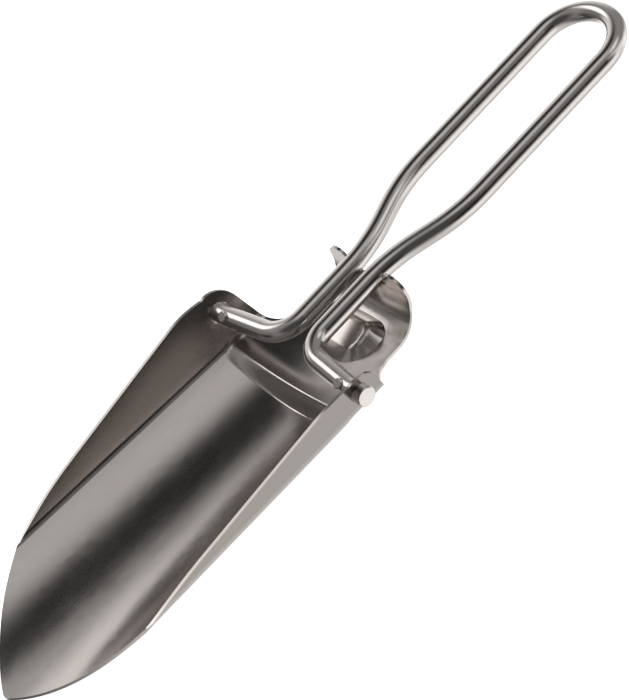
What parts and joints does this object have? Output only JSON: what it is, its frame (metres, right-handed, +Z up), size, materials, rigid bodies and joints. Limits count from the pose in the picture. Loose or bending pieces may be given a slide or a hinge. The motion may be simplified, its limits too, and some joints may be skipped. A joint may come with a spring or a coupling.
{
  "type": "folding camp shovel",
  "caption": "Folding hand shovel: a pressed steel scoop with a pointed front, upright ears and a curled tab, and a bent wire loop handle that folds over it.",
  "frame": {"origin": "bottom centre of the open shovel's box: level with the scoop's underside, on the symmetry plane, half way along the length", "axes": "+X along the pivot axis, +Y from the blade's tip towards the handle's loop, +Z up, out of the scoop"},
  "size_m": [0.0748, 0.2688, 0.0302],
  "materials": {
    "blade_steel": "satin, lightly brushed along the blade",
    "wire_steel": "polished drawn wire"
  },
  "bodies": {
    "blade": {"blade": "blade_steel"},
    "handle": {"handle": "wire_steel"}
  },
  "joints": [
    {"name": "handle_fold", "type": "hinge", "parent": "blade", "child": "handle", "pos_m": [0, -0.00779, 0.0196], "axis": [1, 0, 0], "range_deg": [0, 183]}
  ]
}
